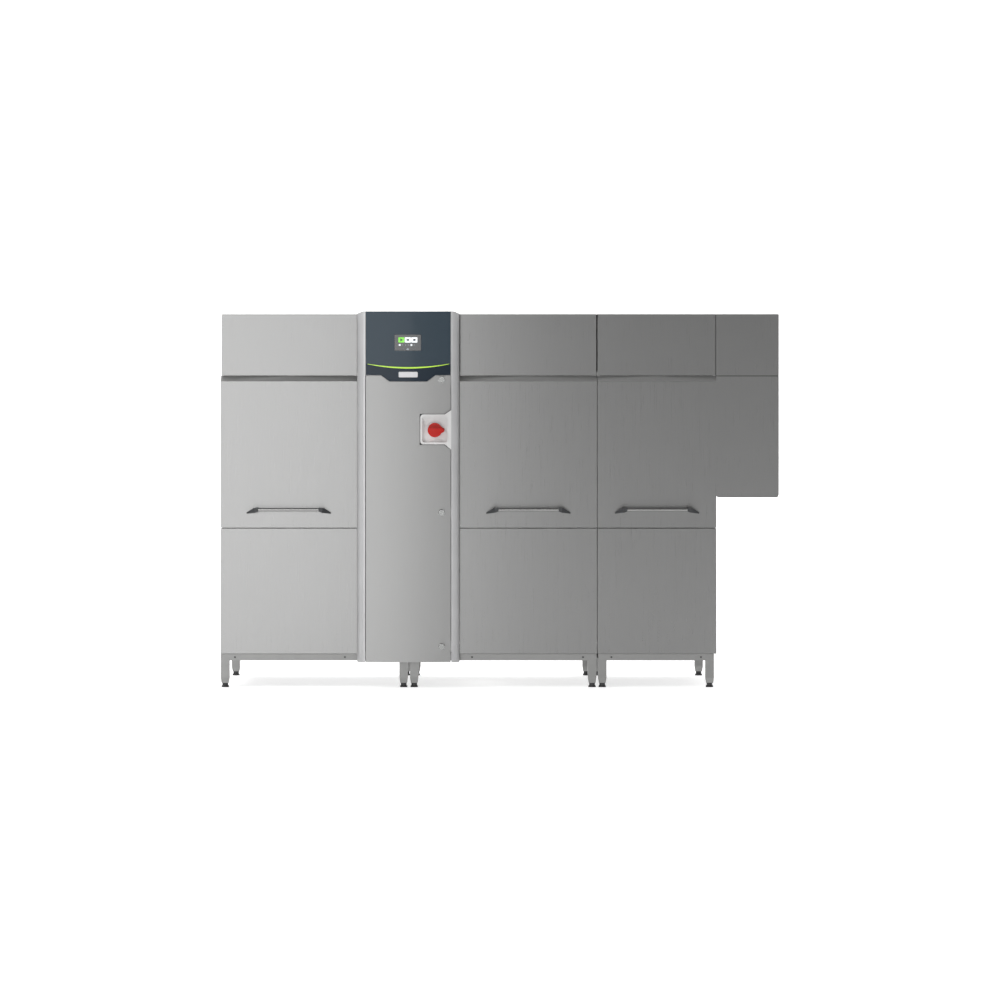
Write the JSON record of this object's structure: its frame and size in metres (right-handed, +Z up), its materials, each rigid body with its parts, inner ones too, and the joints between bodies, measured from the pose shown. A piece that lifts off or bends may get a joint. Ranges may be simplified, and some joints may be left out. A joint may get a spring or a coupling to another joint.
{
  "type": "rack conveyor dishwasher",
  "caption": "Floor-standing stainless tunnel dishwasher with wash, rinse and drying modules, lift-up front doors, a control column and an exit hood.",
  "frame": {"origin": "centre of the footprint at floor level, under the levelling feet", "axes": "+X along the rack travel from entry to exit, +Z up, the operator's front with doors and controls faces -Y"},
  "size_m": [2.654, 0.9, 1.784],
  "materials": {
    "frame_steel": "satin welded square tube",
    "foot_black": "dark moulded levelling foot",
    "screw_dark": "dark screw heads",
    "panel_steel": "vertically brushed stainless sheet",
    "handle_steel": "polished steel bar on dark end brackets",
    "inner_steel": "satin stainless interior",
    "trim_grey": "light grey painted curved trim",
    "glass_dark": "back-painted slate glass",
    "screen_black": "touch screen",
    "badge_silver": "blank badge plate",
    "switch_grey": "light grey moulded switch surround",
    "switch_red": "red moulded switch knob",
    "latch_steel": "polished quarter-turn latch",
    "gear_plastic": "moulded switchgear",
    "motor_grey": "painted motor and pump housing",
    "wheel_metal": "cast and pressed wheels",
    "drum_plastic": "moulded spring drum",
    "curtain_rubber": "flexible splash curtain"
  },
  "bodies": {
    "machine": {"badge_plate": "badge_silver", "balancer_brackets": "inner_steel", "base_frame_dryer": "frame_steel", "base_frame_rinse": "frame_steel", "base_frame_wash": "frame_steel", "booster_boiler": "inner_steel", "bulkheads": "inner_steel", "chamber_shells": "inner_steel", "column_body": "panel_steel", "column_trims": "trim_grey", "control_glass": "glass_dark", "curtain_rods": "inner_steel", "display_unit": "screen_black", "door_guides": "inner_steel", "dryer_blower": "inner_steel", "entry_portal": "panel_steel", "fascia_dryer": "panel_steel", "fascia_rinse": "panel_steel", "fascia_wash": "panel_steel", "frame_screws": "screw_dark", "gear_motor": "motor_grey", "hood_shell": "panel_steel", "hood_side_panels": "panel_steel", "levelling_feet": "foot_black", "lower_panel_dryer": "panel_steel", "lower_panel_rinse": "panel_steel", "lower_panel_wash": "panel_steel", "rack_track": "inner_steel", "rear_panels": "panel_steel", "roof_panels": "panel_steel", "service_connections": "inner_steel", "spray_arms": "inner_steel", "strainer_trays": "inner_steel", "switch_escutcheon": "switch_grey", "switchgear": "gear_plastic", "tank_heaters": "inner_steel", "tanks": "inner_steel", "wash_pump": "motor_grey"},
    "door_wash": {"door_wash": "panel_steel", "handle_wash": "handle_steel"},
    "drum_wash": {"balancer_drum_wash": "drum_plastic"},
    "door_rinse": {"door_rinse": "panel_steel", "handle_rinse": "handle_steel"},
    "drum_rinse": {"balancer_drum_rinse": "drum_plastic"},
    "door_dryer": {"door_dryer": "panel_steel", "handle_dryer": "handle_steel"},
    "drum_dryer": {"balancer_drum_dryer": "drum_plastic"},
    "cabinet_door": {"cabinet_door": "panel_steel"},
    "latch_top": {"latch_top": "latch_steel"},
    "latch_middle": {"latch_middle": "latch_steel"},
    "latch_bottom": {"latch_bottom": "latch_steel"},
    "switch_knob": {"switch_knob": "switch_red"},
    "shuttle": {"shuttle_bar": "inner_steel"},
    "rocker": {"drive_rocker": "inner_steel"},
    "pump_impeller": {"pump_impeller": "wheel_metal"},
    "blower_wheel": {"blower_wheel": "wheel_metal"},
    "curtain_entry": {"curtain_entry": "curtain_rubber"},
    "curtain_wash_rinse": {"curtain_wash_rinse": "curtain_rubber"},
    "curtain_rinse_dryer": {"curtain_rinse_dryer": "curtain_rubber"},
    "curtain_exit": {"curtain_exit": "curtain_rubber"}
  },
  "joints": [
    {"name": "door_wash_lift", "type": "slide", "parent": "machine", "child": "door_wash", "axis": [0, 0, 1], "range_m": [0, 0.6]},
    {"name": "drum_wash_turn", "type": "hinge", "parent": "machine", "child": "drum_wash", "pos_m": [-1.003, -0.257, 1.7], "axis": [1, 0, 0], "range_deg": [0, 860]},
    {"name": "door_rinse_lift", "type": "slide", "parent": "machine", "child": "door_rinse", "axis": [0, 0, 1], "range_m": [0, 0.6]},
    {"name": "drum_rinse_turn", "type": "hinge", "parent": "machine", "child": "drum_rinse", "pos_m": [0.1345, -0.257, 1.7], "axis": [1, 0, 0], "range_deg": [0, 860]},
    {"name": "door_dryer_lift", "type": "slide", "parent": "machine", "child": "door_dryer", "axis": [0, 0, 1], "range_m": [0, 0.6]},
    {"name": "drum_dryer_turn", "type": "hinge", "parent": "machine", "child": "drum_dryer", "pos_m": [0.745, -0.257, 1.7], "axis": [1, 0, 0], "range_deg": [0, 860]},
    {"name": "cabinet_door_hinge", "type": "hinge", "parent": "machine", "child": "cabinet_door", "pos_m": [-0.6328, -0.408, 0.8], "axis": [0, 0, -1], "range_deg": [0, 90]},
    {"name": "latch_top_turn", "type": "hinge", "parent": "cabinet_door", "child": "latch_top", "pos_m": [-0.2765, -0.41, 1.461], "axis": [0, -1, 0], "range_deg": [0, 90]},
    {"name": "latch_middle_turn", "type": "hinge", "parent": "cabinet_door", "child": "latch_middle", "pos_m": [-0.2765, -0.41, 0.831], "axis": [0, -1, 0], "range_deg": [0, 90]},
    {"name": "latch_bottom_turn", "type": "hinge", "parent": "cabinet_door", "child": "latch_bottom", "pos_m": [-0.2765, -0.41, 0.198], "axis": [0, -1, 0], "range_deg": [0, 90]},
    {"name": "main_switch_turn", "type": "hinge", "parent": "machine", "child": "switch_knob", "pos_m": [-0.309, -0.43, 1.222], "axis": [0, -1, 0], "range_deg": [0, 90]},
    {"name": "shuttle_stroke", "type": "slide", "parent": "machine", "child": "shuttle", "axis": [1, 0, 0], "range_m": [-0.075, 0.075]},
    {"name": "rocker_swing", "type": "hinge", "parent": "machine", "child": "rocker", "pos_m": [0.745, 0.05, 0.482], "axis": [0, 1, 0], "range_deg": [-12.64, 12.64]},
    {"name": "pump_spin", "type": "hinge", "parent": "machine", "child": "pump_impeller", "pos_m": [-0.85, 0.208, 0.32], "axis": [1, 0, 0], "continuous": true},
    {"name": "blower_spin", "type": "hinge", "parent": "machine", "child": "blower_wheel", "pos_m": [0.9, 0.01, 1.56], "axis": [0, 0, 1], "continuous": true},
    {"name": "curtain_entry_swing", "type": "hinge", "parent": "machine", "child": "curtain_entry", "pos_m": [-1.3195, 0.014, 1.412], "axis": [0, 1, 0], "range_deg": [-55, 55]},
    {"name": "curtain_wash_rinse_swing", "type": "hinge", "parent": "machine", "child": "curtain_wash_rinse", "pos_m": [-0.435, 0.014, 1.412], "axis": [0, 1, 0], "range_deg": [-55, 55]},
    {"name": "curtain_rinse_dryer_swing", "type": "hinge", "parent": "machine", "child": "curtain_rinse_dryer", "pos_m": [0.4615, 0.014, 1.412], "axis": [0, 1, 0], "range_deg": [-55, 55]},
    {"name": "curtain_exit_swing", "type": "hinge", "parent": "machine", "child": "curtain_exit", "pos_m": [1.3195, 0.014, 1.412], "axis": [0, 1, 0], "range_deg": [-55, 55]}
  ],
  "couplings": [
    {"joint": "drum_wash_turn", "follows": "door_wash_lift", "rad_per_m": 25},
    {"joint": "drum_rinse_turn", "follows": "door_rinse_lift", "rad_per_m": 25},
    {"joint": "drum_dryer_turn", "follows": "door_dryer_lift", "rad_per_m": 25},
    {"joint": "rocker_swing", "follows": "shuttle_stroke", "rad_per_m": 2.941}
  ]
}
